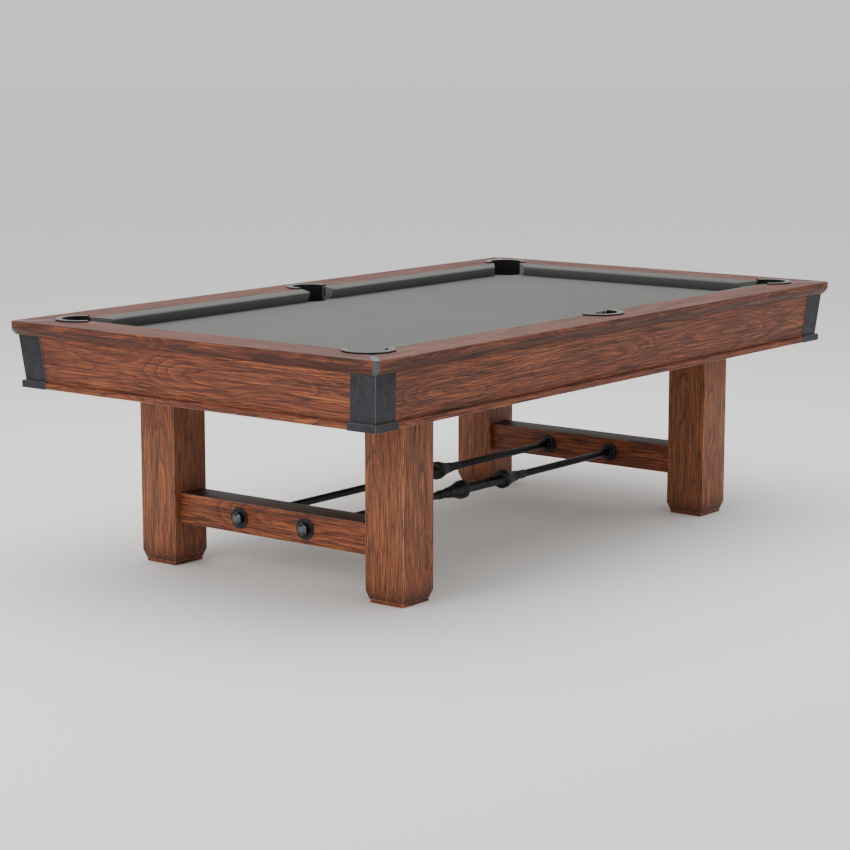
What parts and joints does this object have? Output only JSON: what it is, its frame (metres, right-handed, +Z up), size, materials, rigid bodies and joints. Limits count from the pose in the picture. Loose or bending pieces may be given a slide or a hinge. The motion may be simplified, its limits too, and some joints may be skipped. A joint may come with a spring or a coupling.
{
  "type": "pool table",
  "caption": "Rustic timber pool table: cloth-covered slate bed, drop pockets, square legs, and stretchers tied by iron rods with turnbuckles.",
  "frame": {"origin": "centre of the footprint on the floor, under the middle of the bed", "axes": "+X along the table from the head end to the foot end, +Y across it to the left side, +Z up"},
  "size_m": [2.6152, 1.4976, 0.82],
  "materials": {
    "rustic_wood": "reddish-brown stained rustic timber with open grain, knots and worn edges, satin lacquer",
    "frame_pine": "planed softwood, unfinished",
    "cloth": "grey worsted billiard cloth",
    "rubber": "moulded cushion rubber",
    "slate": "honed slate",
    "pocket_liner": "black moulded liner, satin",
    "forged_iron": "hammered black iron with rubbed edges",
    "cast_iron": "blackened casting, waxed",
    "zinc_steel": "zinc-plated steel",
    "foot_plate": "steel plate and stud, painted dark brown to match the legs"
  },
  "bodies": {
    "root": {"rail_head": "rustic_wood", "rail_foot": "rustic_wood", "rail_left_head": "rustic_wood", "rail_left_foot": "rustic_wood", "rail_right_head": "rustic_wood", "rail_right_foot": "rustic_wood", "cushion_rubber": "rubber", "pocket_facings": "rubber", "feather_strips": "frame_pine", "cushion_cloth_head": "cloth", "cushion_cloth_foot": "cloth", "cushion_cloth_left_head": "cloth", "cushion_cloth_left_foot": "cloth", "cushion_cloth_right_head": "cloth", "cushion_cloth_right_foot": "cloth", "bed_cloth": "cloth", "slate_head": "slate", "slate_middle": "slate", "slate_foot": "slate", "pocket_head_left": "pocket_liner", "pocket_head_right": "pocket_liner", "pocket_side_left": "pocket_liner", "pocket_side_right": "pocket_liner", "pocket_foot_left": "pocket_liner", "pocket_foot_right": "pocket_liner", "corner_straps": "forged_iron", "apron_head": "rustic_wood", "apron_foot": "rustic_wood", "apron_left": "rustic_wood", "apron_right": "rustic_wood", "base_moulding_head": "rustic_wood", "base_moulding_foot": "rustic_wood", "base_moulding_left": "rustic_wood", "base_moulding_right": "rustic_wood", "corner_cap_head_left": "forged_iron", "corner_cap_head_right": "forged_iron", "corner_cap_foot_left": "forged_iron", "corner_cap_foot_right": "forged_iron", "side_beams": "frame_pine", "cross_beams": "frame_pine", "rail_bolts": "zinc_steel", "leg_bolts": "zinc_steel", "apron_brackets": "zinc_steel", "leg_head_left": "rustic_wood", "leg_head_right": "rustic_wood", "leg_foot_left": "rustic_wood", "leg_foot_right": "rustic_wood", "stretcher_head": "rustic_wood", "stretcher_foot": "rustic_wood", "tie_rod_left": "forged_iron", "tie_rod_right": "forged_iron", "rod_washers": "forged_iron", "rod_cap_nuts": "forged_iron", "rod_flanges": "forged_iron"},
    "turnbuckle_left": {"turnbuckle_left": "cast_iron"},
    "turnbuckle_right": {"turnbuckle_right": "cast_iron"},
    "levelling_foot_head_left": {"levelling_foot_head_left": "foot_plate"},
    "levelling_foot_head_right": {"levelling_foot_head_right": "foot_plate"},
    "levelling_foot_foot_left": {"levelling_foot_foot_left": "foot_plate"},
    "levelling_foot_foot_right": {"levelling_foot_foot_right": "foot_plate"}
  },
  "joints": [
    {"name": "turnbuckle_left_turn", "type": "hinge", "parent": "root", "child": "turnbuckle_left", "pos_m": [0, 0.137, 0.1912], "axis": [1, 0, 0], "continuous": true},
    {"name": "turnbuckle_right_turn", "type": "hinge", "parent": "root", "child": "turnbuckle_right", "pos_m": [0, -0.137, 0.1912], "axis": [1, 0, 0], "continuous": true},
    {"name": "levelling_foot_head_left_slide", "type": "slide", "parent": "root", "child": "levelling_foot_head_left", "axis": [0, 0, -1], "range_m": [0, 0.01]},
    {"name": "levelling_foot_head_right_slide", "type": "slide", "parent": "root", "child": "levelling_foot_head_right", "axis": [0, 0, -1], "range_m": [0, 0.01]},
    {"name": "levelling_foot_foot_left_slide", "type": "slide", "parent": "root", "child": "levelling_foot_foot_left", "axis": [0, 0, -1], "range_m": [0, 0.01]},
    {"name": "levelling_foot_foot_right_slide", "type": "slide", "parent": "root", "child": "levelling_foot_foot_right", "axis": [0, 0, -1], "range_m": [0, 0.01]}
  ]
}
